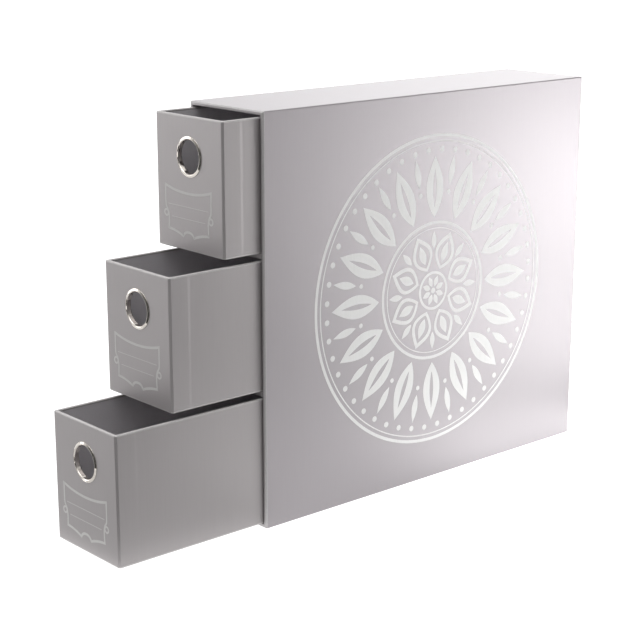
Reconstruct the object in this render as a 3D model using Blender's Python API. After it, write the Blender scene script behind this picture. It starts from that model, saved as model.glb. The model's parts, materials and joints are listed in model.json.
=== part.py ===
"""A slipcase of wrapped greyboard with three open card drawers, one above another.

The case stands upright, its open front faces -Y and +X is its right side. The origin is the centre of
its underside. Every drawer is drawn out by its own length, and slides along Y.
"""

import math

import bmesh
import bpy
from mathutils import Vector

MM = 0.001

# Sheet stock
WRAP_PAPER = 0.35 * MM
LINING_PAPER = 0.25 * MM
CASE_BOARD = 2.0 * MM
SHELF_BOARD = 2.8 * MM
DRAWER_BOARD = 1.5 * MM
GLUE_LINE = 0.3 * MM

# Case
CASE_WIDTH = 84.2 * MM
CASE_HEIGHT = 310.0 * MM
CASE_DEPTH = 342.2 * MM
TURN_UNDER = 8.0 * MM
CASE_WALL = WRAP_PAPER + GLUE_LINE + CASE_BOARD + GLUE_LINE + LINING_PAPER
SHELF = LINING_PAPER + GLUE_LINE + SHELF_BOARD + GLUE_LINE + LINING_PAPER

# Drawers
DRAWER_SIDE_CLEARANCE = 0.4 * MM
DRAWER_REST_GAP = 0.3 * MM
DRAWER_HEADROOM = 1.1 * MM
DRAWER_BACK_CLEARANCE = 1.5 * MM
TOP_PULL = 33.0 * MM
MIDDLE_PULL = 80.7 * MM
BOTTOM_PULL = 128.6 * MM
DRAWER_WALL = WRAP_PAPER + GLUE_LINE + DRAWER_BOARD + GLUE_LINE + LINING_PAPER

# Folds of the paper, by the radius inside the fold
EDGE_FOLD = 0.65 * MM
DRAWER_CORNER_FOLD = 1.45 * MM
TURNED_EDGE_FOLD = 0.25 * MM
LINING_FOLD = 0.25 * MM
TIGHTEST_CORNER = 0.3 * MM

# Eyelet of the finger hole
FINGER_HOLE_RADIUS = 12.0 * MM
EYELET_FLANGE = 3.0 * MM
EYELET_TOP_MARGIN = 14.0 * MM
EYELET_CROWN = 1.3 * MM
EYELET_SHEET = 0.5 * MM
EYELET_CURL_RADIUS = 0.5 * MM
CLINCH_WIDTH = 1.2 * MM
WASHER_THICKNESS = 0.5 * MM
WASHER_MARGIN = 0.3 * MM

# Facets
CORNER_STEPS = 3
EDGE_STEPS = 3
CROWN_STEPS = 6
HOLLOW_STEPS = 4
CURL_STEPS = 2
ROUND_STEPS = 40
SMOOTH_ANGLE = math.radians(35)

# Overrun of the hole cutters
OVERRUN = 3.0 * MM

# What follows from the sizes above
BAYS = ("top", "middle", "bottom")
PULLS = (TOP_PULL, MIDDLE_PULL, BOTTOM_PULL)
BAY_WIDTH = CASE_WIDTH - 2 * CASE_WALL
BAY_HEIGHT = (CASE_HEIGHT - 2 * CASE_WALL - (len(BAYS) - 1) * SHELF) / len(BAYS)
DRAWER_WIDTH = BAY_WIDTH - 2 * DRAWER_SIDE_CLEARANCE
DRAWER_HEIGHT = BAY_HEIGHT - DRAWER_REST_GAP - DRAWER_HEADROOM
DRAWER_LENGTH = CASE_DEPTH - CASE_WALL - DRAWER_BACK_CLEARANCE
SKIN = WRAP_PAPER + GLUE_LINE
LINING_SKIN = LINING_PAPER + GLUE_LINE
EDGE_RADIUS = EDGE_FOLD + WRAP_PAPER
DRAWER_CORNER_RADIUS = DRAWER_CORNER_FOLD + WRAP_PAPER
TURNED_EDGE_RADIUS = TURNED_EDGE_FOLD + WRAP_PAPER
LINING_RADIUS = LINING_FOLD + LINING_PAPER
BOARD_EDGE = max(EDGE_FOLD - GLUE_LINE, 0)
EYELET_RADIUS = FINGER_HOLE_RADIUS + EYELET_FLANGE
EYELET_DROP = EYELET_TOP_MARGIN + EYELET_RADIUS
FRONT = -CASE_DEPTH / 2
QUARTER_TURN = math.pi / 2


def clear_scene():
    for obj in list(bpy.data.objects):
        bpy.data.objects.remove(obj, do_unlink=True)


def material(name, colour, roughness, metallic=0.0):
    made = bpy.data.materials.new(name)
    made.use_nodes = True
    shader = made.node_tree.nodes["Principled BSDF"]
    shader.inputs["Base Color"].default_value = (*colour, 1.0)
    shader.inputs["Roughness"].default_value = roughness
    shader.inputs["Metallic"].default_value = metallic
    return made


def add_object(name, bm, finish, parent=None, location=(0, 0, 0), rotation=(0, 0, 0)):
    bmesh.ops.recalc_face_normals(bm, faces=bm.faces)
    mesh = bpy.data.meshes.new(name)
    bm.to_mesh(mesh)
    bm.free()
    mesh.materials.append(finish)
    mesh.shade_smooth()
    mesh.set_sharp_from_angle(angle=SMOOTH_ANGLE)
    obj = bpy.data.objects.new(name, mesh)
    bpy.context.scene.collection.objects.link(obj)
    obj.parent = parent
    obj.location = location
    obj.rotation_euler = rotation
    return obj


def arc(centre, radii, start, end, steps):
    """Points of an elliptical arc, with both ends, at angles in radians."""
    points = []
    for step in range(steps + 1):
        angle = start + (end - start) * step / steps
        points.append((centre[0] + radii[0] * math.cos(angle), centre[1] + radii[1] * math.sin(angle)))
    return points


def round_arc(centre, radius, start, end, steps):
    return arc(centre, (radius, radius), start, end, steps)


def rounded_rectangle(width, length, radius, steps=CORNER_STEPS):
    """Points counter-clockwise round a rectangle about the origin, one arc at each corner."""
    points = []
    for corner, (side, end) in enumerate(((1, 1), (-1, 1), (-1, -1), (1, -1))):
        centre = (side * (width / 2 - radius), end * (length / 2 - radius))
        start = corner * QUARTER_TURN
        points += round_arc(centre, radius, start, start + QUARTER_TURN, steps)
    return points


def tray_mesh(width, length, corner_radius, section):
    """Sweeps a section of (inset, height) points round a rectangle and closes both floors."""
    bm = bmesh.new()
    rings = []
    for inset, height in section:
        radius = max(corner_radius - inset, TIGHTEST_CORNER)
        outline = rounded_rectangle(width - 2 * inset, length - 2 * inset, radius)
        rings.append([bm.verts.new((x, y, height)) for x, y in outline])
    for lower, upper in zip(rings, rings[1:]):
        for index in range(len(lower)):
            after = (index + 1) % len(lower)
            bm.faces.new((lower[index], lower[after], upper[after], upper[index]))
    bm.faces.new(rings[0])
    bm.faces.new(rings[-1])
    return bm


def wrap_section(depth, wall):
    """Paper that runs under the floor, up the wall, over the rim and down to the lining's edge."""
    foot = (EDGE_RADIUS, EDGE_RADIUS)
    rim = (EDGE_RADIUS, depth - EDGE_RADIUS)
    lip = (wall - TURNED_EDGE_RADIUS, depth - TURNED_EDGE_RADIUS)
    outer = round_arc(foot, EDGE_RADIUS, 3 * QUARTER_TURN, 2 * QUARTER_TURN, EDGE_STEPS)
    outer += round_arc(rim, EDGE_RADIUS, 2 * QUARTER_TURN, QUARTER_TURN, EDGE_STEPS)
    outer += round_arc(lip, TURNED_EDGE_RADIUS, QUARTER_TURN, 0, EDGE_STEPS)
    inner = round_arc(lip, TURNED_EDGE_FOLD, 0, QUARTER_TURN, EDGE_STEPS)
    inner += round_arc(rim, EDGE_FOLD, QUARTER_TURN, 2 * QUARTER_TURN, EDGE_STEPS)
    inner += round_arc(foot, EDGE_FOLD, 2 * QUARTER_TURN, 3 * QUARTER_TURN, EDGE_STEPS)
    return outer + inner


def lining_mesh(width, length, depth):
    """A tray folded from one sheet: floor, fold and wall, cut square at the top."""
    fold = (LINING_RADIUS, LINING_RADIUS)
    outer = round_arc(fold, LINING_RADIUS, 3 * QUARTER_TURN, 2 * QUARTER_TURN, EDGE_STEPS)
    inner = round_arc(fold, LINING_FOLD, 2 * QUARTER_TURN, 3 * QUARTER_TURN, EDGE_STEPS)
    section = [*outer, (0, depth), (LINING_PAPER, depth), *inner]
    return tray_mesh(width, length, LINING_RADIUS, section)


def break_edges(bm, edges):
    """Flattens the edges that lie in a fold of the wrap, as far as the fold needs."""
    if BOARD_EDGE:
        bmesh.ops.bevel(bm, geom=edges, offset=BOARD_EDGE, segments=1, affect="EDGES")


def board_mesh(x, y, z, broken=False):
    """A flat board between its limits along each axis."""
    bm = bmesh.new()
    bmesh.ops.create_cube(bm, size=1)
    lowest = Vector((x[0], y[0], z[0]))
    span = Vector((x[1], y[1], z[1])) - lowest
    bmesh.ops.scale(bm, vec=span, verts=bm.verts)
    bmesh.ops.translate(bm, vec=lowest + span / 2, verts=bm.verts)
    if broken:
        break_edges(bm, bm.edges[:])
    return bm


def extruded_mesh(outline, z):
    """A flat outline of (x, y) points, extruded from z[0] to z[1]."""
    bm = bmesh.new()
    floor = bm.faces.new([bm.verts.new((px, py, z[0])) for px, py in outline])
    raised = bmesh.ops.extrude_face_region(bm, geom=[floor])["geom"]
    lifted = [item for item in raised if isinstance(item, bmesh.types.BMVert)]
    bmesh.ops.translate(bm, vec=(0, 0, z[1] - z[0]), verts=lifted)
    return bm


def turned_mesh(profile):
    """A closed profile of (radius, y) points, turned about the Y axis."""
    bm = bmesh.new()
    verts = [bm.verts.new((radius, y, 0)) for radius, y in profile]
    edges = [bm.edges.new((first, after)) for first, after in zip(verts, verts[1:] + verts[:1])]
    bmesh.ops.spin(
        bm,
        geom=verts + edges,
        axis=(0, 1, 0),
        cent=(0, 0, 0),
        angle=2 * math.pi,
        steps=ROUND_STEPS,
        use_merge=True,
    )
    return bm


def cut_hole(obj, cutter):
    hole = obj.modifiers.new("finger_hole", "BOOLEAN")
    hole.operation = "DIFFERENCE"
    hole.solver = "EXACT"
    hole.object = cutter


def helper(obj):
    obj.hide_render = True
    obj.display_type = "WIRE"
    return obj


def build_case(greyboard, printed_paper, plain_paper, lining_paper):
    half_width = CASE_WIDTH / 2
    side_inner = half_width - SKIN - CASE_BOARD
    back = CASE_DEPTH / 2 - SKIN
    back_inner = back - CASE_BOARD
    board_front = FRONT + SKIN
    board_back = back_inner - GLUE_LINE
    board_top = CASE_HEIGHT - SKIN
    between = (-side_inner + GLUE_LINE, side_inner - GLUE_LINE)
    along = (board_front, board_back)

    for side, sign in (("left", -1), ("right", 1)):
        across = sorted((sign * side_inner, sign * (half_width - SKIN)))
        sheet = board_mesh(across, (board_front, back), (SKIN, board_top), broken=True)
        add_object("case_" + side + "_board", sheet, greyboard)
    for name, limits in (
        ("base", (between, along, (SKIN, SKIN + CASE_BOARD))),
        ("top", (between, along, (board_top - CASE_BOARD, board_top))),
        ("back", (between, (back_inner, back), (SKIN, board_top))),
    ):
        add_object("case_" + name + "_board", board_mesh(*limits, broken=True), greyboard)

    for level, name in ((2, "upper_shelf"), (1, "lower_shelf")):
        underside = CASE_WALL + level * BAY_HEIGHT + (level - 1) * SHELF
        board_low = underside + LINING_SKIN
        thickness = (board_low, board_low + SHELF_BOARD)
        add_object(name + "_board", board_mesh(between, along, thickness), greyboard)
        add_object(name + "_edging", edging_mesh(), plain_paper, location=(0, FRONT, underside + SHELF / 2))

    wrap_tray = tray_mesh(CASE_WIDTH, CASE_HEIGHT, EDGE_RADIUS, wrap_section(CASE_DEPTH, CASE_WALL))
    wrap_place = (0, CASE_DEPTH / 2, CASE_HEIGHT / 2)
    upright = (QUARTER_TURN, 0, 0)
    wrap = add_object("case_wrap", wrap_tray, printed_paper, location=wrap_place, rotation=upright)
    sheet_x = (-half_width + TURN_UNDER, half_width - TURN_UNDER)
    sheet_y = (FRONT + TURN_UNDER, -FRONT - TURN_UNDER)
    add_object("case_base_sheet", board_mesh(sheet_x, sheet_y, (0, WRAP_PAPER)), plain_paper)
    window_x = (sheet_x[0] - GLUE_LINE, sheet_x[1] + GLUE_LINE)
    window_y = (sheet_y[0] - GLUE_LINE, sheet_y[1] + GLUE_LINE)
    window = board_mesh(window_x, window_y, (-SKIN, SKIN))
    cut_hole(wrap, helper(add_object("base_window_cutter", window, greyboard)))

    lining_depth = CASE_DEPTH - CASE_WALL + LINING_PAPER - TURNED_EDGE_RADIUS - GLUE_LINE
    lining_back = CASE_DEPTH / 2 - CASE_WALL + LINING_PAPER
    for index, bay in enumerate(BAYS):
        place = (0, lining_back, bay_floor(index) + BAY_HEIGHT / 2)
        sheet = lining_mesh(BAY_WIDTH + 2 * LINING_PAPER, BAY_HEIGHT + 2 * LINING_PAPER, lining_depth)
        add_object("bay_lining_" + bay, sheet, lining_paper, location=place, rotation=upright)


def bay_floor(index):
    """Height of a bay's floor, the bays counted from the top."""
    return CASE_WALL + (len(BAYS) - 1 - index) * (BAY_HEIGHT + SHELF)


def edging_mesh():
    """A strip of paper folded round a shelf's front edge, about the middle of the shelf."""
    rise = SHELF / 2 - TURNED_EDGE_RADIUS
    upper = (TURNED_EDGE_RADIUS, rise)
    lower = (TURNED_EDGE_RADIUS, -rise)
    section = round_arc(upper, TURNED_EDGE_RADIUS, QUARTER_TURN, 2 * QUARTER_TURN, EDGE_STEPS)
    section += round_arc(lower, TURNED_EDGE_RADIUS, 2 * QUARTER_TURN, 3 * QUARTER_TURN, EDGE_STEPS)
    section += round_arc(lower, TURNED_EDGE_FOLD, 3 * QUARTER_TURN, 2 * QUARTER_TURN, EDGE_STEPS)
    section += round_arc(upper, TURNED_EDGE_FOLD, 2 * QUARTER_TURN, QUARTER_TURN, EDGE_STEPS)
    half_length = BAY_WIDTH / 2 - GLUE_LINE
    bm = bmesh.new()
    face = bm.faces.new([bm.verts.new((-half_length, y, z)) for y, z in section])
    raised = bmesh.ops.extrude_face_region(bm, geom=[face])["geom"]
    moved = [item for item in raised if isinstance(item, bmesh.types.BMVert)]
    bmesh.ops.translate(bm, vec=(2 * half_length, 0, 0), verts=moved)
    return bm


def end_board_mesh(height):
    """A front or back board, its outer face on -Y, with the two outer corners rounded under the wrap."""
    half_width = DRAWER_WIDTH / 2 - SKIN
    radius = DRAWER_CORNER_RADIUS - SKIN
    left = round_arc((radius - half_width, radius), radius, 2 * QUARTER_TURN, 3 * QUARTER_TURN, EDGE_STEPS)
    right = round_arc((half_width - radius, radius), radius, 3 * QUARTER_TURN, 4 * QUARTER_TURN, EDGE_STEPS)
    outline = [*left, *right, (half_width, DRAWER_BOARD), (-half_width, DRAWER_BOARD)]
    bm = extruded_mesh(outline, height)
    break_edges(bm, [edge for edge in bm.edges if edge.verts[0].co.z == edge.verts[1].co.z])
    return bm


def eyelet_profile():
    """A stamped ring: crowned flange on the face, barrel through the wall, end clinched over the washer."""
    outer_centre = ((FINGER_HOLE_RADIUS + EYELET_RADIUS) / 2, -GLUE_LINE)
    crown = ((EYELET_RADIUS - FINGER_HOLE_RADIUS) / 2, EYELET_CROWN)
    hollow = (crown[0] - EYELET_SHEET, EYELET_CROWN - EYELET_SHEET)
    clinch_seat = DRAWER_WALL + GLUE_LINE + WASHER_THICKNESS + GLUE_LINE
    barrel_radius = FINGER_HOLE_RADIUS + EYELET_SHEET
    curl = (barrel_radius + EYELET_CURL_RADIUS, clinch_seat - EYELET_CURL_RADIUS)
    clinch_radius = barrel_radius + EYELET_CURL_RADIUS + CLINCH_WIDTH
    profile = arc(outer_centre, crown, 2 * QUARTER_TURN, 4 * QUARTER_TURN, CROWN_STEPS)
    profile += arc(outer_centre, hollow, 4 * QUARTER_TURN, 2 * QUARTER_TURN, HOLLOW_STEPS)
    profile += round_arc(curl, EYELET_CURL_RADIUS, 2 * QUARTER_TURN, QUARTER_TURN, CURL_STEPS)
    profile += [(clinch_radius, clinch_seat), (clinch_radius, clinch_seat + EYELET_SHEET)]
    curl_outside = EYELET_CURL_RADIUS + EYELET_SHEET
    profile += round_arc(curl, curl_outside, QUARTER_TURN, 2 * QUARTER_TURN, CURL_STEPS)
    return profile


def washer_profile():
    inner = FINGER_HOLE_RADIUS + EYELET_SHEET + 2 * WASHER_MARGIN
    outer = EYELET_RADIUS - WASHER_MARGIN
    near = DRAWER_WALL + GLUE_LINE
    far = near + WASHER_THICKNESS
    return [(inner, near), (outer, near), (outer, far), (inner, far)]


def build_drawer(name, index, pull, greyboard, plain_paper, lining_paper, nickel):
    slide = bpy.data.objects.new("drawer_" + name + "_slide", None)
    bpy.context.scene.collection.objects.link(slide)
    slide.location = (0, FRONT - pull, bay_floor(index) + DRAWER_REST_GAP)
    prefix = "drawer_" + name + "_"

    board_top = DRAWER_HEIGHT - SKIN
    end_height = (SKIN, board_top)
    ends_inner = SKIN + DRAWER_BOARD + GLUE_LINE
    side_outer = DRAWER_WIDTH / 2 - SKIN
    side_inner = side_outer - DRAWER_BOARD
    along = (ends_inner, DRAWER_LENGTH - ends_inner)
    floor_x = (-side_inner + GLUE_LINE, side_inner - GLUE_LINE)

    front = add_object(prefix + "front_board", end_board_mesh(end_height), greyboard, slide, (0, SKIN, 0))
    back_place = (0, DRAWER_LENGTH - SKIN, 0)
    half_turn = (0, 0, 2 * QUARTER_TURN)
    add_object(prefix + "back_board", end_board_mesh(end_height), greyboard, slide, back_place, half_turn)
    for side, sign in (("left", -1), ("right", 1)):
        across = sorted((sign * side_inner, sign * side_outer))
        sheet = board_mesh(across, along, end_height, broken=True)
        add_object(prefix + side + "_board", sheet, greyboard, slide)
    floor = board_mesh(floor_x, along, (SKIN, SKIN + DRAWER_BOARD))
    add_object(prefix + "base_board", floor, greyboard, slide)

    middle = DRAWER_LENGTH / 2
    wrap_shape = wrap_section(DRAWER_HEIGHT, DRAWER_WALL)
    wrap_tray = tray_mesh(DRAWER_WIDTH, DRAWER_LENGTH, DRAWER_CORNER_RADIUS, wrap_shape)
    wrap = add_object(prefix + "wrap", wrap_tray, plain_paper, slide, (0, middle, 0))
    inset = DRAWER_WALL - LINING_PAPER
    lining_depth = DRAWER_HEIGHT - TURNED_EDGE_RADIUS - GLUE_LINE - inset
    sheet = lining_mesh(DRAWER_WIDTH - 2 * inset, DRAWER_LENGTH - 2 * inset, lining_depth)
    lining = add_object(prefix + "lining", sheet, lining_paper, slide, (0, middle, inset))

    hole_centre = (0, 0, DRAWER_HEIGHT - EYELET_DROP)
    hole_radius = FINGER_HOLE_RADIUS + EYELET_SHEET + GLUE_LINE
    hole_ends = (-OVERRUN, DRAWER_WALL + OVERRUN)
    bore = extruded_mesh(round_arc((0, 0), hole_radius, 0, 2 * math.pi, ROUND_STEPS)[:-1], hole_ends)
    lying = (-QUARTER_TURN, 0, 0)
    cutter = helper(add_object(prefix + "hole_cutter", bore, nickel, slide, hole_centre, lying))
    for pierced in (front, wrap, lining):
        cut_hole(pierced, cutter)
    add_object(prefix + "eyelet", turned_mesh(eyelet_profile()), nickel, slide, hole_centre)
    add_object(prefix + "eyelet_washer", turned_mesh(washer_profile()), nickel, slide, hole_centre)


def main():
    clear_scene()
    greyboard = material("greyboard", (0.36, 0.34, 0.31), 0.9)
    printed_paper = material("printed_pearl_paper", (0.62, 0.60, 0.64), 0.42, 0.25)
    plain_paper = material("pearl_paper", (0.38, 0.365, 0.37), 0.42, 0.25)
    lining_paper = material("lining_paper", (0.075, 0.07, 0.075), 0.7)
    nickel = material("nickel", (0.78, 0.75, 0.71), 0.16, 1.0)
    build_case(greyboard, printed_paper, plain_paper, lining_paper)
    for index, (name, pull) in enumerate(zip(BAYS, PULLS)):
        build_drawer(name, index, pull, greyboard, plain_paper, lining_paper, nickel)


main()
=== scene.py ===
"""Looks of the card drawer box: pearl papers, linings, rings, printed ornament, light and camera.

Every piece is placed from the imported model's own boxes, in metres, in the row frame.
"""

import json
import math

import bmesh
import bpy
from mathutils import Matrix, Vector

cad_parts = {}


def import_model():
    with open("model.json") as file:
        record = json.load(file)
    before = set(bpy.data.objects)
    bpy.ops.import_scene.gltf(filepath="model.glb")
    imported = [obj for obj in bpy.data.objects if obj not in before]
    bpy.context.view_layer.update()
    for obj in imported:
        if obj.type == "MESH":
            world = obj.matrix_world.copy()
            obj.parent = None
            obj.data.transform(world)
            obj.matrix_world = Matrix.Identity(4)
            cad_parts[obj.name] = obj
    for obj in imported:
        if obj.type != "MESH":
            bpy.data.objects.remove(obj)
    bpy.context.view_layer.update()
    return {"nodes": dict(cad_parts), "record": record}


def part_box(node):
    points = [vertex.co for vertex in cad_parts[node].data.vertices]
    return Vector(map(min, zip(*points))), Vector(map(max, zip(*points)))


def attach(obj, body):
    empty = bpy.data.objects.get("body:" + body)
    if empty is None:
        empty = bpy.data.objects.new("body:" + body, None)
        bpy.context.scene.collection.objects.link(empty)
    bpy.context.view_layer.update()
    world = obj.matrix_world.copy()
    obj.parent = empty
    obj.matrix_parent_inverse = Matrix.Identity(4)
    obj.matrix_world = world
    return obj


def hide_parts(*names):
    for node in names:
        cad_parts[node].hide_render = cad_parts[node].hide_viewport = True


MM = 0.001
# How near two places have to be to count as one
TOUCH = 0.01 * MM
RIGHT_ANGLE = math.pi / 2
FULL_TURN = 2 * math.pi

# Camera, fitted to the corners of the box in the photograph
CAMERA_PLACE = (908.2 * MM, -878.1 * MM, 453.4 * MM)
CAMERA_AZIMUTH = math.radians(48.75)
CAMERA_ELEVATION = math.radians(14.70)
CAMERA_LENS = 90.62
CAMERA_SHIFT = (0.0005, 0.0006)
CAMERA_SENSOR = 36.0

# Papers of the case
PRINT_THICKNESS = 0.05 * MM
PAPER = 0.35 * MM
CASE_WALL = 3.2 * MM
CASE_EDGE = 1.0 * MM
MOUTH_EDGE = 1.2 * MM
MOUTH_CREASE = 0.5 * MM
MOUTH_LIP = 0.55 * MM
MOUTH_TURN_IN = 12.0 * MM
SHEET_GAP = 0.3 * MM

# Papers of a drawer
DRAWER_WALL = 2.7 * MM
LINING = 0.2 * MM
RIM_EDGE = 1.0 * MM
RIM_LIP = 1.0 * MM
FOOT_EDGE = 1.0 * MM
RIM_TURN_IN = 6.0 * MM
CORNER_REACH = 1.65 * MM
CORNER_CREASE = 0.5 * MM
CORNER_TIGHT = 0.9 * MM
FOLD_FADE = 0.5 * MM
FLAP_REACH = 15.0 * MM
FLAP_SLOPE = 3.0 * MM
FLAP_RISE = 0.12 * MM
FLAP_STEPS = 4
LINING_DROP = 1.6 * MM
LINING_CREASE = 0.3 * MM
FLOOR_SHEET_GAP = 0.9 * MM
FLOOR_SHEET = 0.45 * MM
BAY_SHEET = 0.25 * MM
BAY_SET_BACK = 2.6 * MM
EDGING_DEPTH = 6.0 * MM

# Finger hole ring
RING_REACH = 14.7 * MM
RING_CROWN = 0.95 * MM
RING_LIP = 0.2 * MM
RING_RIDGE = 13.1 * MM
RING_RIDGE_ROUND = 0.35 * MM
RING_ROLL = 0.5 * MM
RING_BORE = 12.35 * MM
RING_SHEET = 0.3 * MM
RING_CURL = 0.9 * MM
RING_WASHER = 0.35 * MM
CLINCH_REACH = 13.9 * MM
ROUND_STEPS = 96

# Label frame printed on a drawer's front, measured down from the rim and across from its middle
LABEL_OFFSET = -2.1 * MM
LABEL_LINE = 1.5 * MM
LABEL_BAND = 1.9 * MM
LABEL_EYE_ACROSS = 26.3 * MM
LABEL_EYE_DOWN = 72.3 * MM
LABEL_EYE_RADIUS = 2.2 * MM
WRITING_LINE = 0.5 * MM
# Half length and place of each line to write on
WRITING_LINES = ((23.7 * MM, 65.4 * MM), (19.8 * MM, 74.2 * MM))


def soft_corner(corner, arriving, leaving, reach, radius, steps=4):
    """Points round a right-angled corner: arc, flat facet, arc. It is one plain arc if radius is reach."""
    corner, arriving, leaving = Vector(corner), Vector(arriving), Vector(leaving)
    start = corner - arriving * reach
    end = corner + leaving * reach
    angles = [math.pi / 4 * step / steps for step in range(steps + 1)]
    first = [start + radius * (math.sin(a) * arriving + (1 - math.cos(a)) * leaving) for a in angles]
    last = [end - radius * (math.sin(a) * leaving + (1 - math.cos(a)) * arriving) for a in reversed(angles)]
    return [tuple(point) for point in first + last]


def rectangle(half_x, half_y, right, left=None, rise=0.0):
    """Outline with soft corners, each side's given as (reach, radius). With a rise, the long sides swell
    near their ends, where the flaps of the end papers lie under them."""
    points = []
    marks = flap_marks(rise)
    for x, y, arriving, leaving in (
        (1, 1, (0, 1), (-1, 0)),
        (-1, 1, (-1, 0), (0, -1)),
        (-1, -1, (0, -1), (1, 0)),
        (1, -1, (1, 0), (0, 1)),
    ):
        side = [(x * (half_x + out), y * (half_y - along)) for along, out in marks]
        if arriving[1]:
            points += side[::-1]
        reach, radius = right if x > 0 or not left else left
        points += soft_corner((x * (half_x + rise), y * half_y), arriving, leaving, reach, radius)
        if leaving[1]:
            points += side
    return points


def flap_marks(rise):
    """How far the side stands out, at distances from the end, past the edge of the flap under the paper."""
    if not rise:
        return []
    marks = []
    for step in range(FLAP_STEPS + 1):
        share = step / FLAP_STEPS
        drop = (1 + math.cos(math.pi * share)) / 2
        marks.append((FLAP_REACH + FLAP_SLOPE * share, rise * drop))
    return marks


def finish_mesh(name, bm, material, body, replaced=(), thickness=0.0):
    """Makes the piece, gives it paper thickness where asked, and hangs it on its body."""
    bmesh.ops.remove_doubles(bm, verts=bm.verts, dist=1e-7)
    bmesh.ops.recalc_face_normals(bm, faces=bm.faces)
    mesh = bpy.data.meshes.new(name)
    bm.to_mesh(mesh)
    bm.free()
    mesh.materials.append(material)
    mesh.shade_smooth()
    mesh.set_sharp_from_angle(angle=math.radians(40))
    piece = bpy.data.objects.new(name, mesh)
    bpy.context.scene.collection.objects.link(piece)
    if thickness:
        solid = piece.modifiers.new("paper", "SOLIDIFY")
        solid.thickness = thickness
        solid.offset = -1
    normals = piece.modifiers.new("flat_faces", "WEIGHTED_NORMAL")
    normals.keep_sharp = True
    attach(piece, body)
    if replaced:
        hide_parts(*replaced)
    return piece


def sweep(rings, fold_and_highlight_shares, close_start=True, close_end=False):
    """Joins rings of points into a skin. A per-point attribute marks where the paper is creased and where
    its colour is lightened as a painted highlight.
    """
    bm = bmesh.new()
    fold_and_highlight = bm.verts.layers.float.new("fold_and_highlight")
    made = []
    for ring, fold_and_highlight_share in zip(rings, fold_and_highlight_shares):
        verts = [bm.verts.new(point) for point in ring]
        for vert in verts:
            vert[fold_and_highlight] = fold_and_highlight_share
        made.append(verts)
    for lower, upper in zip(made, made[1:]):
        for index in range(len(lower)):
            after = (index + 1) % len(lower)
            bm.faces.new((lower[index], lower[after], upper[after], upper[index]))
    if close_start:
        bm.faces.new(made[0])
    if close_end:
        bm.faces.new(made[-1])
    return bm


# Materials


def start_material(name):
    made = bpy.data.materials.new(name)
    made.use_nodes = True
    return made, made.node_tree, made.node_tree.nodes["Principled BSDF"]


def space(tree, stretch):
    """Object coordinates, stretched."""
    where = tree.nodes.new("ShaderNodeTexCoord")
    mapping = tree.nodes.new("ShaderNodeMapping")
    mapping.inputs["Scale"].default_value = stretch
    tree.links.new(where.outputs["Object"], mapping.inputs["Vector"])
    return mapping.outputs["Vector"]


def noise(tree, vector, per_metre, detail=2.0, roughness=0.5):
    made = tree.nodes.new("ShaderNodeTexNoise")
    made.inputs["Scale"].default_value = per_metre
    made.inputs["Detail"].default_value = detail
    made.inputs["Roughness"].default_value = roughness
    tree.links.new(vector, made.inputs["Vector"])
    return made.outputs["Fac"]


def remap(tree, value, low, high, out_low=0.0, out_high=1.0):
    made = tree.nodes.new("ShaderNodeMapRange")
    made.inputs["From Min"].default_value = low
    made.inputs["From Max"].default_value = high
    made.inputs["To Min"].default_value = out_low
    made.inputs["To Max"].default_value = out_high
    tree.links.new(value, made.inputs["Value"])
    return made.outputs["Result"]


def combine(tree, operation, first, second):
    made = tree.nodes.new("ShaderNodeMath")
    made.operation = operation
    for socket, value in zip(made.inputs, (first, second)):
        if isinstance(value, (int, float)):
            socket.default_value = value
        else:
            tree.links.new(value, socket)
    return made.outputs["Value"]


def weigh(tree, first, share, second):
    """Two values added, the first with its share and the second with the rest."""
    rest = combine(tree, "MULTIPLY", second, 1 - share)
    return combine(tree, "ADD", combine(tree, "MULTIPLY", first, share), rest)


def tint(tree, factor, first, second):
    """A colour between two, each a colour or a socket."""
    made = tree.nodes.new("ShaderNodeMix")
    made.data_type = "RGBA"
    colour_inputs = [socket for socket in made.inputs if socket.type == "RGBA"]
    for socket, value in zip(colour_inputs, (first, second)):
        if isinstance(value, tuple):
            socket.default_value = (*value, 1.0)
        else:
            tree.links.new(value, socket)
    tree.links.new(factor, made.inputs["Factor"])
    return [socket for socket in made.outputs if socket.type == "RGBA"][0]


def roughen(tree, shader, height, distance, strength=1.0):
    made = tree.nodes.new("ShaderNodeBump")
    made.inputs["Distance"].default_value = distance
    made.inputs["Strength"].default_value = strength
    tree.links.new(height, made.inputs["Height"])
    tree.links.new(made.outputs["Normal"], shader.inputs["Normal"])


def brushed_grain(tree, per_metre, detail):
    """Fine streaks: up the walls and, on level faces, across the box, as the paper is folded over."""
    up = noise(tree, space(tree, (1, 1, 0.03)), per_metre, detail)
    across = noise(tree, space(tree, (0.03, 1, 1)), per_metre, detail)
    where = tree.nodes.new("ShaderNodeTexCoord")
    parts = tree.nodes.new("ShaderNodeSeparateXYZ")
    tree.links.new(where.outputs["Normal"], parts.inputs["Vector"])
    level = remap(tree, combine(tree, "ABSOLUTE", parts.outputs["Z"], 0.0), 0.6, 0.8)
    made = tree.nodes.new("ShaderNodeMix")
    tree.links.new(level, made.inputs["Factor"])
    tree.links.new(up, made.inputs["A"])
    tree.links.new(across, made.inputs["B"])
    return made.outputs["Result"]


def crease_wear_and_highlight(tree, per_metre=900):
    """Where a fold's coating is rubbed, and where the fold is lightened as a painted highlight: the fold
    attribute, broken up by noise.
    """
    mark = tree.nodes.new("ShaderNodeAttribute")
    mark.attribute_name = "fold_and_highlight"
    patchiness = remap(tree, noise(tree, space(tree, (1, 1, 1)), per_metre, 3.0), 0.30, 0.60, 0.7, 1.0)
    return combine(tree, "MULTIPLY", mark.outputs["Fac"], patchiness)


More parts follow.
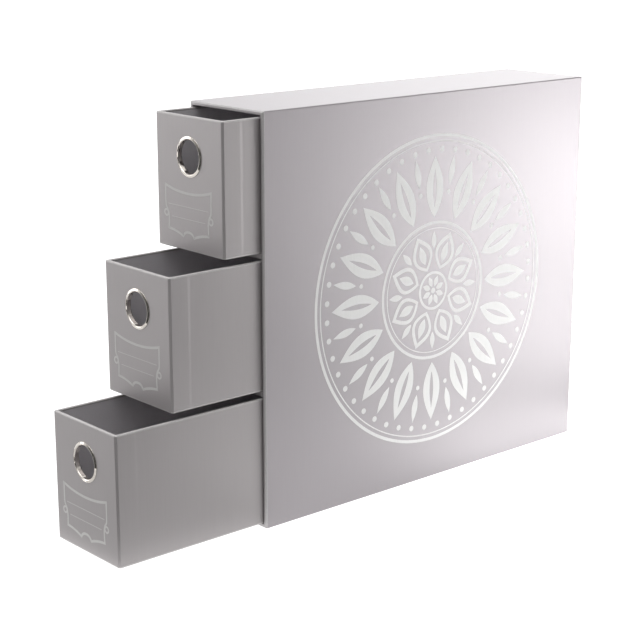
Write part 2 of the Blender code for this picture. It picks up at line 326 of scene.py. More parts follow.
# Colours of the papers, darker then lighter, and of a rubbed fold, which is also lighter as a painted
# highlight
PRINTED_PEARL = ((0.361, 0.339, 0.353), (0.371, 0.349, 0.363))
PLAIN_PEARL = ((0.379, 0.358, 0.361), (0.391, 0.370, 0.373))
RUBBED_AND_HIGHLIGHT_PAPER = (0.66, 0.65, 0.64)
PEARL_METALLIC = 0.64
PEARL_ROUGHNESS = 0.45
DARK_LINING = ((0.50, 0.48, 0.50), (0.60, 0.58, 0.60))
# Colours of the prints, where the film is thin and full
WHITE_INK = ((0.73, 0.73, 0.72), (0.80, 0.80, 0.79))
LABEL_INK = ((0.48, 0.475, 0.465), (0.53, 0.525, 0.515))
INK_ROUGHNESS = 0.5


def pearl_paper(name, dark, light):
    """Silver pearl paper: brushed grain, faint clouds, and rubbed folds that are lightened as painted
    highlights.
    """
    made, tree, shader = start_material(name)
    grain = brushed_grain(tree, 1100, 3.0)
    fibre = brushed_grain(tree, 4200, 2.0)
    cloud = noise(tree, space(tree, (1, 1, 0.55)), 16, 3.0, 0.55)
    mixed = weigh(tree, grain, 0.75, cloud)
    base = tint(tree, remap(tree, mixed, 0.32, 0.68), dark, light)
    # Folds, rims and turned-in edges made lighter: part rubbed coating, part painted highlight
    wear_and_highlight = combine(tree, "MULTIPLY", crease_wear_and_highlight(tree), 0.6)
    base = tint(tree, wear_and_highlight, base, RUBBED_AND_HIGHLIGHT_PAPER)
    tree.links.new(base, shader.inputs["Base Color"])
    gloss = remap(tree, mixed, 0.3, 0.7, PEARL_ROUGHNESS - 0.006, PEARL_ROUGHNESS + 0.008)
    gloss = combine(tree, "ADD", gloss, combine(tree, "MULTIPLY", wear_and_highlight, 0.3))
    tree.links.new(gloss, shader.inputs["Roughness"])
    shader.inputs["Metallic"].default_value = PEARL_METALLIC
    shader.inputs["Specular IOR Level"].default_value = 0.35
    height = combine(tree, "ADD", grain, combine(tree, "MULTIPLY", fibre, 0.5))
    roughen(tree, shader, height, 0.02 * MM, 0.07)
    return made


def lining_material():
    """Matt dark grey uncoated paper with short fibres."""
    made, tree, shader = start_material("lining_paper")
    fibre = noise(tree, space(tree, (1, 0.35, 1)), 2600, 4.0, 0.6)
    cloud = noise(tree, space(tree, (1, 1, 1)), 22, 3.0)
    mixed = weigh(tree, fibre, 0.5, cloud)
    base = tint(tree, remap(tree, mixed, 0.3, 0.7), *DARK_LINING)
    tree.links.new(base, shader.inputs["Base Color"])
    tree.links.new(remap(tree, fibre, 0.3, 0.7, 0.62, 0.74), shader.inputs["Roughness"])
    roughen(tree, shader, fibre, 0.04 * MM, 0.6)
    return made


def greyboard_material():
    """Raw greyboard: pulp grey with dark and pale flecks of recycled fibre."""
    made, tree, shader = start_material("greyboard")
    pulp = noise(tree, space(tree, (1, 1, 1)), 900, 5.0, 0.65)
    fleck = noise(tree, space(tree, (1, 1, 3)), 2400, 2.0)
    base = tint(tree, remap(tree, pulp, 0.3, 0.7), (0.24, 0.225, 0.2), (0.34, 0.32, 0.29))
    base = tint(tree, remap(tree, fleck, 0.68, 0.74), base, (0.1, 0.09, 0.085))
    base = tint(tree, remap(tree, fleck, 0.3, 0.25), base, (0.5, 0.48, 0.44))
    tree.links.new(base, shader.inputs["Base Color"])
    tree.links.new(remap(tree, pulp, 0.3, 0.7, 0.85, 0.95), shader.inputs["Roughness"])
    roughen(tree, shader, pulp, 0.1 * MM, 0.7)
    return made


def nickel_material():
    """Polished nickel plate with fine turning marks and a little tarnish."""
    made, tree, shader = start_material("nickel")
    haze = noise(tree, space(tree, (1, 1, 1)), 420, 4.0, 0.6)
    scratch = noise(tree, space(tree, (1, 6, 1)), 3800, 2.0)
    base = tint(tree, remap(tree, haze, 0.35, 0.7), (0.80, 0.76, 0.71), (0.72, 0.67, 0.61))
    tree.links.new(base, shader.inputs["Base Color"])
    tree.links.new(remap(tree, haze, 0.3, 0.7, 0.06, 0.11), shader.inputs["Roughness"])
    shader.inputs["Metallic"].default_value = 1.0
    roughen(tree, shader, scratch, 0.004 * MM, 0.08)
    return made


def ink_material(name, thin, full):
    """Printed film, with the paper's grain showing through it."""
    made, tree, shader = start_material(name)
    grain = brushed_grain(tree, 1100, 3.0)
    cover = noise(tree, space(tree, (1, 1, 1)), 2600, 3.0)
    mixed = weigh(tree, grain, 0.5, cover)
    tree.links.new(tint(tree, remap(tree, mixed, 0.3, 0.6), thin, full), shader.inputs["Base Color"])
    gloss = remap(tree, mixed, 0.3, 0.7, INK_ROUGHNESS - 0.04, INK_ROUGHNESS + 0.05)
    tree.links.new(gloss, shader.inputs["Roughness"])
    roughen(tree, shader, grain, 0.015 * MM, 0.5)
    return made


# Papers


def wrap_section(depth, wall, edge, mouth, crease, lip, turn_in):
    """(inset, height) points of the paper's outer face, each with its share of fold."""
    foot = soft_corner((0, 0), (-1, 0), (0, 1), edge, edge)
    rim = soft_corner((0, depth), (0, 1), (1, 0), mouth, crease)
    inner = soft_corner((wall, depth), (1, 0), (0, -1), lip, lip)
    return foot, rim, inner + [(wall, depth - turn_in)]


def case_wrap(material):
    """The printed paper round the case, turned in at the mouth, with a window under the base sheet."""
    low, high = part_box("case_wrap")
    centre = (low + high) / 2
    half_x = (high.x - low.x) / 2 - PRINT_THICKNESS
    half_z = (high.z - low.z) / 2
    depth = high.y - low.y
    sheet_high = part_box("case_base_sheet")[1]
    window_x = sheet_high.x + SHEET_GAP
    window_back = high.y - sheet_high.y - SHEET_GAP
    foot, rim, inner = wrap_section(
        depth, CASE_WALL - LINING, CASE_EDGE, MOUTH_EDGE, MOUTH_CREASE, MOUTH_LIP, MOUTH_TURN_IN
    )
    plain_depths = (CASE_EDGE + FOLD_FADE, window_back, depth - window_back, depth - MOUTH_EDGE - FOLD_FADE)
    plain = [(0, height) for height in plain_depths]
    section = foot + plain + rim + inner
    # Shares of the lighter fold colour: rubbed creases at foot and rim, and a painted highlight there and
    # on the turned-in paper
    fold_and_highlight_shares = [1.0] * len(foot) + [0.0] * len(plain) + [1.0] * len(rim) + [0.5] * len(inner)
    rings = []
    for inset, height in section:
        edge = max(CASE_EDGE - inset, LINING_CREASE)
        outline = rectangle(half_x - inset, half_z - inset, (edge, edge))
        bottom = [i for i, (x, z) in enumerate(outline) if z < inset - half_z + TOUCH]
        at = bottom[len(bottom) // 2]
        outline[at:at] = [(-window_x, inset - half_z), (window_x, inset - half_z)]
        rings.append([(x, high.y - height, centre.z + z) for x, z in outline])
    bm = sweep(rings, fold_and_highlight_shares)
    for face in list(bm.faces):
        middle = face.calc_center_median()
        under = middle.z < low.z + TOUCH and abs(middle.x) < window_x * 0.5
        if under and face.calc_area() > window_x * depth:
            bm.faces.remove(face)
    return finish_mesh("case_wrap_paper", bm, material, "case", ["case_wrap"], PAPER)


def drawer_wrap(name, material):
    """The pearl paper round a drawer: corners creased, side papers lapped over the end papers' flaps."""
    low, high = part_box("drawer_" + name + "_wrap")
    centre = (low + high) / 2
    half_x = (high.x - low.x) / 2
    half_y = (high.y - low.y) / 2
    foot, rim, inner = wrap_section(
        high.z - low.z, DRAWER_WALL - LINING, FOOT_EDGE, RIM_EDGE, RIM_EDGE, RIM_LIP, RIM_TURN_IN
    )
    depth = high.z - low.z
    plain = [(0, FOOT_EDGE + FOLD_FADE), (0, depth - RIM_EDGE - FOLD_FADE)]
    rings = []
    for inset, height in foot + plain + rim + inner:
        reach = max(CORNER_REACH - inset * (2 - math.sqrt(2)), LINING_CREASE)
        crease = max(CORNER_CREASE - inset, 0.1 * MM)
        tight = max(CORNER_TIGHT - inset, 0.1 * MM)
        rise = FLAP_RISE if inset < RIM_EDGE else FLAP_RISE * 0.01
        flat_x = half_x - FLAP_RISE - inset
        outline = rectangle(flat_x, half_y - inset, (reach, crease), (tight, tight), rise)
        rings.append([(x, centre.y + y, low.z + height) for x, y in outline])
    # Shares of the lighter fold colour: rubbed creases at foot and rim, and a painted highlight there and
    # on the turned-in paper
    fold_and_highlight_shares = [1.0] * len(foot) + [0.0] * len(plain) + [1.0] * len(rim) + [0.5] * len(inner)
    bm = sweep(rings, fold_and_highlight_shares)
    bore_ring(bm, name, low.y)
    return finish_mesh(
        "drawer_" + name + "_wrap_paper", bm, material, "drawer_" + name,
        ["drawer_" + name + "_wrap"], PAPER,
    )


def bore_ring(bm, name, front):
    """Opens the finger hole in a front face."""
    low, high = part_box("drawer_" + name + "_eyelet")
    centre = (low + high) / 2
    radius = RING_BORE + RING_SHEET + 0.1 * MM
    level = [face for face in bm.faces if abs(face.calc_center_median().y - front) < TOUCH]
    for face in [face for face in level if face.calc_area() > radius**2]:
        edges = list(face.edges)
        bm.faces.remove(face)
        rim = [bm.verts.new((x, front, z)) for x, z in circle((centre.x, centre.z), radius, ROUND_STEPS)]
        hole = [bm.edges.new((rim[i - 1], rim[i])) for i in range(ROUND_STEPS)]
        bmesh.ops.triangle_fill(bm, use_beauty=True, edges=edges + hole)


def drawer_lining(name, material):
    """Dark paper up the walls and a separate sheet on the floor, a little short of the walls."""
    node = "drawer_" + name + "_lining"
    low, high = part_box(node)
    wrap_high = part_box("drawer_" + name + "_wrap")[1]
    centre = (low + high) / 2
    half_x = (high.x - low.x) / 2 - LINING
    half_y = (high.y - low.y) / 2 - LINING
    floor = low.z + LINING
    top = wrap_high.z - LINING_DROP
    section = soft_corner((0, floor), (-1, 0), (0, 1), LINING_CREASE, LINING_CREASE) + [(0, top)]
    rings = []
    for inset, height in section:
        edge = LINING_CREASE + inset
        outline = rectangle(half_x - inset, half_y - inset, (edge, edge))
        rings.append([(x, centre.y + y, height) for x, y in outline])
    bm = sweep(rings, [1.0] * (len(rings) - 1) + [0.0])
    bore_ring(bm, name, centre.y - half_y)
    walls = finish_mesh(
        "drawer_" + name + "_wall_lining", bm, material, "drawer_" + name, [node], -LINING
    )
    sheet_x = half_x - FLOOR_SHEET_GAP
    sheet_y = half_y - FLOOR_SHEET_GAP
    bm = sweep(
        [
            [(x, centre.y + y, floor + height) for x, y in rectangle(sheet_x, sheet_y, (2 * MM, 2 * MM))]
            for height in (0, FLOOR_SHEET)
        ],
        [0.0, 0.0],
        close_end=True,
    )
    finish_mesh(
        "drawer_" + name + "_floor_sheet", bm, material, "drawer_" + name, [node]
    )
    return walls


def bay_lining(name, material):
    """Dark paper in a bay, set back from the mouth so that the turned-in wrap shows before it."""
    node = "bay_lining_" + name
    low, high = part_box(node)
    centre = (low + high) / 2
    half_x = (high.x - low.x) / 2 - BAY_SHEET
    half_z = (high.z - low.z) / 2 - BAY_SHEET
    back = high.y - BAY_SHEET
    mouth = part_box("case_wrap")[0].y + BAY_SET_BACK
    section = soft_corner((0, back), (-1, 0), (0, -1), LINING_CREASE, LINING_CREASE) + [(0, mouth)]
    rings = []
    for inset, y in section:
        edge = LINING_CREASE + inset
        outline = rectangle(half_x - inset, half_z - inset, (edge, edge))
        rings.append([(x, y, centre.z + z) for x, z in outline])
    bm = sweep(rings, [0.0] * len(rings))
    return finish_mesh("bay_" + name + "_lining", bm, material, "case", [node], -BAY_SHEET)


def shelf_edging(name, material):
    """A strip of pearl paper folded round a shelf's front edge and under the linings."""
    node = name + "_shelf_edging"
    low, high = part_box(node)
    centre = (low + high) / 2
    half_z = (high.z - low.z) / 2
    under = half_z - BAY_SHEET - PRINT_THICKNESS
    shown = BAY_SET_BACK - PRINT_THICKNESS
    section = [(EDGING_DEPTH, -under), (shown, -half_z)]
    section += soft_corner((0, -half_z), (-1, 0), (0, 1), MOUTH_LIP, MOUTH_LIP)
    section += soft_corner((0, half_z), (0, 1), (1, 0), MOUTH_LIP, MOUTH_LIP)
    section += [(shown, half_z), (EDGING_DEPTH, under)]
    bm = bmesh.new()
    fold_and_highlight = bm.verts.layers.float.new("fold_and_highlight")
    sides = []
    for x in (low.x, high.x):
        side = [bm.verts.new((x, low.y + depth, centre.z + z)) for depth, z in section]
        sides.append(side)
    for verts in sides:
        # The folded front edge is made lighter: part rubbed paper, part painted highlight
        for vert in verts[2:-2]:
            vert[fold_and_highlight] = 0.6
    for index in range(len(section) - 1):
        bm.faces.new((sides[0][index], sides[0][index + 1], sides[1][index + 1], sides[1][index]))
    return finish_mesh(name + "_shelf_edge_strip", bm, material, "case", [node], PAPER)


# Finger hole rings


def turned(profile, centre):
    """A closed profile of (radius, depth) points, turned about the line through centre along Y."""
    bm = bmesh.new()
    rings = []
    for step in range(ROUND_STEPS):
        angle = FULL_TURN * step / ROUND_STEPS
        rings.append([
            bm.verts.new((centre.x + r * math.cos(angle), centre.y + y, centre.z + r * math.sin(angle)))
            for r, y in profile
        ])
    for first, after in zip(rings, rings[1:] + rings[:1]):
        for index in range(len(profile)):
            nxt = (index + 1) % len(profile)
            bm.faces.new((first[index], first[nxt], after[nxt], after[index]))
    return bm


def arc(centre, radius, start, end, steps=8):
    """(radius, depth) points of an arc; angles from outwards towards depth, in degrees."""
    points = []
    for step in range(steps + 1):
        angle = math.radians(start + (end - start) * step / steps)
        points.append((centre[0] + radius * math.cos(angle), centre[1] + radius * math.sin(angle)))
    return points


def ring_seat(name):
    """Depth of the inner face of a drawer's front, where the washer lies."""
    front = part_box("drawer_" + name + "_wrap")[0].y
    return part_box("drawer_" + name + "_lining")[0].y + LINING - front


def ring(name, material):
    """Stamped ring: conical flange, rounded ridge, roll into the barrel, curl clinched on the washer."""
    node = "drawer_" + name + "_eyelet"
    low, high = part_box(node)
    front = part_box("drawer_" + name + "_wrap")[0].y
    centre = Vector(((low.x + high.x) / 2, front, (low.z + high.z) / 2))
    back = ring_seat(name) + RING_WASHER + RING_SHEET
    lip = (RING_REACH - RING_LIP, -RING_LIP)
    ridge = (RING_RIDGE, RING_RIDGE_ROUND - RING_CROWN)
    roll = (RING_BORE + RING_ROLL, RING_ROLL - 0.75 * RING_CROWN)
    curl = (RING_BORE + RING_CURL, back - RING_CURL)
    profile = arc(lip, RING_LIP, 90, -67)
    profile += arc(ridge, RING_RIDGE_ROUND, -67, -128)
    profile += arc(roll, RING_ROLL, -132, -180)
    profile += arc(curl, RING_CURL, 180, 90)
    profile += [(CLINCH_REACH, back), (CLINCH_REACH, back - RING_SHEET)]
    profile += arc(curl, RING_CURL - RING_SHEET, 90, 180)
    profile += arc(roll, RING_ROLL - RING_SHEET, -180, -132)
    profile += arc(ridge, RING_RIDGE_ROUND * 0.3, -128, -67)
    bm = turned(profile, centre)
    return finish_mesh("drawer_" + name + "_ring", bm, material, "drawer_" + name, [node])


def washer(name, material):
    node = "drawer_" + name + "_eyelet_washer"
    low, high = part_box(node)
    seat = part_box("drawer_" + name + "_wrap")[0].y + ring_seat(name)
    centre = Vector(((low.x + high.x) / 2, seat, (low.z + high.z) / 2))
    outer = (high.x - low.x) / 2
    inner = RING_BORE + RING_SHEET + 0.3 * MM
    thick = RING_WASHER
    bevel = 0.12 * MM
    profile = [
        (inner, 0), (outer - bevel, 0), (outer, bevel), (outer, thick - bevel),
        (outer - bevel, thick), (inner + bevel, thick), (inner, thick - bevel),
    ]
    bm = turned(profile, centre)
    return finish_mesh("drawer_" + name + "_ring_washer", bm, material, "drawer_" + name, [node])


# Prints


def raise_film(bm, direction):
    """Gives flat printed shapes the thickness of the film."""
    raised = bmesh.ops.extrude_face_region(bm, geom=list(bm.faces))["geom"]
    verts = [item for item in raised if isinstance(item, bmesh.types.BMVert)]
    bmesh.ops.translate(bm, vec=Vector(direction) * PRINT_THICKNESS, verts=verts)


def add_shape(bm, loops, place):
    """Fills the space between closed loops of flat points."""
    edges = []
    for loop in loops:
        verts = [bm.verts.new(place(*point)) for point in loop]
        edges += [bm.edges.new((verts[i - 1], verts[i])) for i in range(len(verts))]
    bmesh.ops.triangle_fill(bm, use_beauty=True, edges=edges)


def stroke_sides(points, widths, closed):
    """The two sides of a stroke along flat points, mitred at its corners."""
    left, right = [], []
    count = len(points)
    for index, (point, width) in enumerate(zip(points, widths)):
        before = points[index - 1] if closed or index else point
        after = points[(index + 1) % count] if closed or index < count - 1 else point
        into = (Vector(point) - Vector(before)).normalized() if before != point else None
        out = (Vector(after) - Vector(point)).normalized() if after != point else None
        into, out = into or out, out or into
        along = (into + out).normalized()
        normal = Vector((-along.y, along.x))
        miter = max(normal.dot(Vector((-into.y, into.x))), 0.35)
        offset = normal * (width / 2 / miter)
        left.append(tuple(Vector(point) + offset))
        right.append(tuple(Vector(point) - offset))
    return left, right


def add_stroke(bm, points, widths, place, closed=False):
    left, right = stroke_sides(points, widths, closed)
    left = [bm.verts.new(place(*point)) for point in left]
    right = [bm.verts.new(place(*point)) for point in right]
    last = len(points) if closed else len(points) - 1
    for index in range(last):
        after = (index + 1) % len(points)
        bm.faces.new((left[index], left[after], right[after], right[index]))


def curve(points, steps=6):
    """A smooth line through flat points."""
    made = []
    count = len(points)
    for index in range(count - 1):
        p0 = Vector(points[max(index - 1, 0)])
        p1, p2 = Vector(points[index]), Vector(points[index + 1])
        p3 = Vector(points[min(index + 2, count - 1)])
        for step in range(steps):
            t = step / steps
            a = 2 * p1 + (p2 - p0) * t + (2 * p0 - 5 * p1 + 4 * p2 - p3) * t**2
            b = (3 * p1 - p0 - 3 * p2 + p3) * t**3
            made.append(tuple((a + b) / 2))
    return made + [tuple(points[-1])]


def circle(centre, radius, steps):
    turn = [FULL_TURN * step / steps for step in range(steps)]
    return [(centre[0] + radius * math.cos(a), centre[1] + radius * math.sin(a)) for a in turn]


def label_half():
    """Right half of the frame's middle line, across and down in metres, and its widths."""
    top = curve([(0, 55.6), (9, 55.2), (18, 54.0), (26.8, 51.9)])
    side = curve([(26.8, 59.0), (26.5, 66.6), (24.4, 70.0), (23.3, 73.6), (23.2, 77.5), (23.5, 83.2)])
    foot = curve([(23.5, 83.2), (17.0, 84.0), (11.0, 85.4), (6.4, 87.0)])
    arch = curve([(6.4, 87.0), (4.6, 84.9), (2.4, 83.8), (0, 83.5)])
    points = top + side[:-1] + foot[:-1] + arch
    widths = [LABEL_BAND] * len(top) + [LABEL_LINE] * (len(side) - 1)
    widths += [LABEL_BAND] * (len(points) - len(widths))
    return [(across * MM, down * MM) for across, down in points], widths


def label(name, material):
    """A plain label frame with two lines to write on, printed on a drawer's front."""
    low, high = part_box("drawer_" + name + "_wrap")
    body = "drawer_" + name

    def place(across, down):
        return (LABEL_OFFSET + across, low.y, high.z - down)

    half, widths = label_half()
    mirrored = [(-across, down) for across, down in half[-2:0:-1]]
    bm = bmesh.new()
    add_stroke(bm, half + mirrored, widths + widths[-2:0:-1], place, closed=True)
    raise_film(bm, (0, -1, 0))
    for index, (reach, down) in enumerate(WRITING_LINES):
        line = bmesh.new()
        add_stroke(line, [(-reach, down), (reach, down)], [WRITING_LINE] * 2, place)
        raise_film(line, (0, -1, 0))
        finish_mesh("%s_writing_line_%d" % (body, index + 1), line, material, body)
    for side, sign in (("left", -1), ("right", 1)):
        eye = bmesh.new()
        loop = circle((sign * LABEL_EYE_ACROSS, LABEL_EYE_DOWN), LABEL_EYE_RADIUS, 24)
        add_stroke(eye, loop, [LABEL_LINE * 0.95] * len(loop), place, closed=True)
        raise_film(eye, (0, -0.8, 0))
        finish_mesh("%s_label_eye_%s" % (body, side), eye, material, body)
    return finish_mesh(body + "_label_frame", bm, material, body)


def petal(inner, outer, half_width, turn, fullness=0.9, steps=14):
    """A pointed petal between two radii of the rosette, at a turn in radians."""
    sides = []
    for sign in (1, -1):
        side = []
        for step in range(steps + 1):
            t = step / steps
            width = half_width * math.sin(math.pi * t**fullness)
            side.append((inner + (outer - inner) * t, sign * width))
        sides.append(side)
    points = sides[0][:-1] + sides[1][:0:-1]
    cos, sin = math.cos(turn), math.sin(turn)
    return [(r * cos - w * sin, r * sin + w * cos) for r, w in points]


# Rosette, in millimetres: rings by outer radius, inner radius and steps, and rows of dots by count,
# distance from the middle and radius
ROSETTE_RINGS = (
    (123.5, 121.0, 144),
    (118.4, 117.4, 144),
    (55.4, 53.0, 96),
    (50.2, 49.4, 96),
    (15.6, 13.4, 48),
)
ROSETTE_DOTS = (48, 111.5, 2.3)
ROSETTE_BEADS = (16, 78.5, 1.9)
ROSETTE_BOSS = 2.3


def turned_point(distance, turn):
    return (distance * math.cos(turn), distance * math.sin(turn))


def ornament(material):
    """A geometric rosette printed on the right side of the case."""
    low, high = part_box("case_wrap")
    face = high.x - PRINT_THICKNESS
    middle = (low + high) / 2

    def place(y, z):
        return (face, middle.y + y * MM, middle.z + z * MM)

    bm = bmesh.new()
    for outer, inner, steps in ROSETTE_RINGS:
        add_shape(bm, [circle((0, 0), outer, steps), circle((0, 0), inner, steps)], place)
    count, distance, radius = ROSETTE_DOTS
    for index in range(count):
        turn = FULL_TURN * (index + 0.5) / count
        add_shape(bm, [circle(turned_point(distance, turn), radius, 20)], place)
    count, distance, radius = ROSETTE_BEADS
    for index in range(count):
        turn = FULL_TURN * index / count
        between = turn + FULL_TURN / (2 * count)
        add_shape(bm, [petal(58.5, 106.5, 9.2, turn), petal(66, 97, 2.0, turn)], place)
        add_shape(bm, [petal(84, 107, 3.0, between)], place)
        add_shape(bm, [circle(turned_point(distance, between), radius, 20)], place)
    for index in range(8):
        turn = FULL_TURN * (index + 0.5) / 8
        add_shape(bm, [petal(17.5, 48, 10.6, turn), petal(20.5, 43.6, 7.6, turn)], place)
        add_shape(bm, [petal(23.5, 40, 3.6, turn)], place)
        add_shape(bm, [petal(33.5, 47.6, 2.6, turn + FULL_TURN / 16)], place)
        add_shape(bm, [petal(3.4, 12.2, 2.3, turn)], place)
    add_shape(bm, [circle((0, 0), ROSETTE_BOSS, 24)], place)
    raise_film(bm, (1, 0, 0))
    return finish_mesh("side_ornament_print", bm, material, "case")


# Stage


# Soft lobes of the world's light: azimuth from the back (+Y) to the right, elevation, spread, strength
WORLD_LOBES = (
    (14, 8, 6, 4.5),
    (-30, 10, 12, 2.7),
    (-46, 8, 12, 2.25),
    (-100, 8, 15, 0.8),
    (-124, 18, 10, 1.15),
    (0, 90, 30, 2.0),
    (175, 60, 18, 2.2),
)
# Soft pools of light on the floor and on the cards: place, radius, strength
FLOOR_POOLS = (
    (0.14, 0.29, 0.15, 3.1),
    (0.10, 0.08, 0.08, 1.1),
)
FLOOR_GLOW = 1.04
FLOOR_ALBEDO = 0.2
FLOOR_REACH = 12.0
# Cards on the floor, unseen by the camera, each a step above the last: name, corners, glow, pools
CARDS = (
    (
        "left", ((0.25, -0.513), (-0.12, -0.30), (-2.05, 0.22), (-4.0, 1.2), (-4.0, -4.0), (0.25, -4.0)),
        0.88, (),
    ),
    ("dark_left", ((-0.12, -0.30), (-12.0, 6.5), (-12.0, 3.5), (-4.0, 1.2), (-2.05, 0.22)), 0.0, ()),
    ("dark_front", ((-0.10, -0.47), (-4.0, -12.0), (0.6, -12.0), (0.25, -4.0), (0.25, -0.47)), 0.0, ()),
    ("near_front", ((0.06, -0.31), (-0.06, -0.31), (-0.2, -0.44), (0.06, -0.44)), 0.7, ()),
    ("near_side", ((0.06, -0.31), (0.2, -0.31), (0.34, -0.15), (0.06, -0.15)), 0.78, ()),
    ("near_corner", ((0.06, -0.32), (0.18, -0.32), (0.22, -0.44), (0.06, -0.44)), 0.1, ()),
    (
        "right", ((0.64, -0.5), (4.5, -0.5), (4.5, 5.0), (-3.57, 5.0)), 0.0,
        (
            (0.27, 0.37, 0.165, 5.6),
            (0.38, 0.52, 0.18, 0.8),
            (0.43, 0.07, 0.16, 0.42),
            (0.8, 1.1, 0.35, 12.4),
        ),
    ),
)
CARD_STEP = 0.4 * MM
CARD_ALBEDO = 0.01
# A grey card behind the box, which keeps its back from the bright lights: x range, y, z range, glow
BACK_CARD = ((-0.22, 0.056), 0.2, (0.004, 0.305), 0.8)
# Dark cloth that lies from the box towards the camera, and the dark card that it ends at
FLAG_HEIGHT = 4 * MM
FLAG_NEAR = 0.34
FLAG_FAR = 1.15
FLAG_SPREAD = math.radians(20)
FLAG_GLOW = 0.12
FLAG_TOP = 1.0
FLAG_STEPS = 8
# Soft lights: name, place, aim, width, height, watts
SOFT_BOXES = (
    ("far_back_light", (0.3, 0.9, 0.4), (0.3, 0, 0.4), 0.4, 0.8, 0.3),
    ("low_back_light", (0.45, 0.65, 0.15), (0.1, 0.1, 0.15), 0.25, 0.3, 1.1),
    ("left_front_light", (-0.9, -0.6, 0.4), (0, -0.1, 0.15), 0.6, 0.6, 1.15),
)


def lobe(tree, direction, aim, sharpness, strength):
    """A soft bump of light round a direction."""
    dot = tree.nodes.new("ShaderNodeVectorMath")
    dot.operation = "DOT_PRODUCT"
    tree.links.new(direction, dot.inputs[0])
    dot.inputs[1].default_value = aim
    fall = combine(tree, "MULTIPLY", combine(tree, "SUBTRACT", dot.outputs["Value"], 1.0), sharpness)
    return combine(tree, "MULTIPLY", combine(tree, "EXPONENT", fall, 0.0), strength)


def world():
    """White to the camera; to the box, a studio with its light where the lobes are."""
    made = bpy.data.worlds.new("studio")
    bpy.context.scene.world = made
    made.use_nodes = True
    tree = made.node_tree
    glow = tree.nodes["Background"]
    where = tree.nodes.new("ShaderNodeTexCoord")
    total = 0.0
    for azimuth, elevation, spread, strength in WORLD_LOBES:
        turn, tilt = math.radians(azimuth), math.radians(elevation)
        aim = (math.sin(turn) * math.cos(tilt), math.cos(turn) * math.cos(tilt), math.sin(tilt))
        sharpness = 1 / math.radians(spread) ** 2
        bump = lobe(tree, where.outputs["Generated"], aim, sharpness, strength)
        total = combine(tree, "ADD", bump, total)
    seen = tree.nodes.new("ShaderNodeLightPath")
    other = combine(tree, "SUBTRACT", 1.0, seen.outputs["Is Camera Ray"])
    strength = combine(tree, "ADD", combine(tree, "MULTIPLY", total, other), seen.outputs["Is Camera Ray"])
    glow.inputs["Color"].default_value = (1, 1, 1, 1)
    tree.links.new(strength, glow.inputs["Strength"])


def glowing(name, glow, pools, albedo):
    """A matt surface that glows, more so in its pools of light."""
    made, tree, shader = start_material(name)
    where = tree.nodes.new("ShaderNodeTexCoord")
    total = glow
    for x, y, radius, strength in pools:
        away = tree.nodes.new("ShaderNodeVectorMath")
        away.operation = "DISTANCE"
        tree.links.new(where.outputs["Object"], away.inputs[0])
        away.inputs[1].default_value = (x, y, 0)
        share = combine(tree, "DIVIDE", away.outputs["Value"], radius)
        fall = combine(tree, "MULTIPLY", combine(tree, "MULTIPLY", share, share), -1.0)
        pool = combine(tree, "MULTIPLY", combine(tree, "EXPONENT", fall, 0.0), strength)
        total = combine(tree, "ADD", pool, total)
    shader.inputs["Base Color"].default_value = (albedo, albedo, albedo, 1)
    shader.inputs["Roughness"].default_value = 0.9
    shader.inputs["Emission Color"].default_value = (1, 1, 1, 1)
    if pools:
        tree.links.new(total, shader.inputs["Emission Strength"])
    else:
        shader.inputs["Emission Strength"].default_value = total
    return made


def stage_piece(name, faces, material, seen=True):
    """A flat-faced part of the studio, from its faces' corners."""
    bm = bmesh.new()
    for corners in faces:
        bm.faces.new([bm.verts.new(corner) for corner in corners])
    mesh = bpy.data.meshes.new(name)
    bm.to_mesh(mesh)
    bm.free()
    mesh.materials.append(material)
    piece = bpy.data.objects.new(name, mesh)
    piece.visible_camera = seen
    bpy.context.scene.collection.objects.link(piece)


def studio():
    """Pale glowing floor, the cards on it and behind the box, and the flag towards the camera."""
    reach = FLOOR_REACH
    corners = ((reach, reach, 0), (-reach, reach, 0), (-reach, -reach, 0), (reach, -reach, 0))
    stage_piece("studio_floor", [corners], glowing("studio_floor", FLOOR_GLOW, FLOOR_POOLS, FLOOR_ALBEDO))
    for order, (name, outline, glow, pools) in enumerate(CARDS):
        corners = [(x, y, CARD_STEP * (order + 1)) for x, y in outline]
        card("studio_card_" + name, [corners], glow, pools)
    (left, right), y, (low, high), glow = BACK_CARD
    card("studio_card_back", [((left, y, low), (right, y, low), (right, y, high), (left, y, high))], glow)
    flag()


def card(name, faces, glow, pools=()):
    stage_piece(name, faces, glowing(name, glow, pools, CARD_ALBEDO), seen=False)


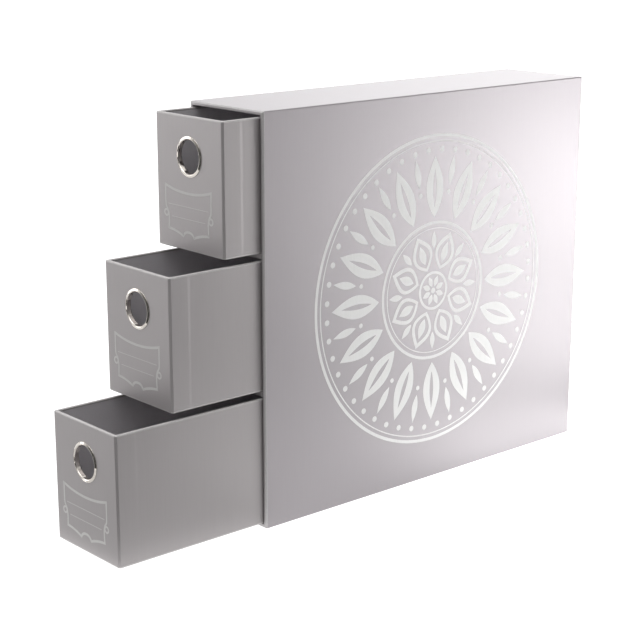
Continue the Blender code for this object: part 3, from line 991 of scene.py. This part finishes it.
def flag():
    """The cloth and the card towards the camera, bent round the box."""

    def spot(step, distance, height):
        angle = CAMERA_AZIMUTH + FLAG_SPREAD * (2 * step / FLAG_STEPS - 1)
        return (math.sin(angle) * distance, -math.cos(angle) * distance, height)

    faces = []
    for near, low, far, high in (
        (FLAG_NEAR, FLAG_HEIGHT, FLAG_FAR, FLAG_HEIGHT),
        (FLAG_FAR, FLAG_HEIGHT, FLAG_FAR, FLAG_TOP),
    ):
        for step in range(FLAG_STEPS):
            inner = (spot(step, near, low), spot(step + 1, near, low))
            outer = (spot(step + 1, far, high), spot(step, far, high))
            faces.append(inner + outer)
    card("studio_flag", faces, FLAG_GLOW)


def soft_box(name, place, aim, width, height, watts):
    """A rectangular soft light that the camera doesn't see."""
    lamp = bpy.data.lights.new(name, "AREA")
    lamp.shape = "RECTANGLE"
    lamp.size = width
    lamp.size_y = height
    lamp.energy = watts
    box = bpy.data.objects.new(name, lamp)
    box.location = place
    box.rotation_euler = (Vector(aim) - Vector(place)).to_track_quat("-Z", "Y").to_euler()
    box.visible_camera = False
    bpy.context.scene.collection.objects.link(box)


def camera():
    data = bpy.data.cameras.new("camera")
    data.lens = CAMERA_LENS
    data.sensor_width = CAMERA_SENSOR
    data.shift_x, data.shift_y = CAMERA_SHIFT
    eye = bpy.data.objects.new("camera", data)
    eye.location = CAMERA_PLACE
    eye.rotation_euler = (RIGHT_ANGLE - CAMERA_ELEVATION, 0, CAMERA_AZIMUTH)
    bpy.context.scene.collection.objects.link(eye)
    bpy.context.scene.camera = eye


def main():
    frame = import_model()
    bpy.context.scene.view_settings.view_transform = "Standard"
    camera()
    world()
    studio()
    for light in SOFT_BOXES:
        soft_box(*light)

    printed = pearl_paper("printed_pearl_paper", *PRINTED_PEARL)
    plain = pearl_paper("pearl_paper", *PLAIN_PEARL)
    lining = lining_material()
    greyboard = greyboard_material()
    nickel = nickel_material()
    white = ink_material("ornament_print", *WHITE_INK)
    varnish = ink_material("label_print", *LABEL_INK)

    slots = {row["node"]: row["material_slot"] for row in frame["record"]["subparts"]}
    finishes = {
        "greyboard": greyboard, "printed_paper": printed, "drawer_paper": plain,
        "lining_paper": lining, "nickel": nickel,
    }
    for node, slot in slots.items():
        for place in frame["nodes"][node].material_slots:
            place.material = finishes[slot]

    case_wrap(printed)
    ornament(white)
    for name in ("upper", "lower"):
        shelf_edging(name, plain)
    for name in ("top", "middle", "bottom"):
        bay_lining(name, lining)
        drawer_wrap(name, plain)
        drawer_lining(name, lining)
        ring(name, nickel)
        washer(name, nickel)
        label(name, varnish)


main()
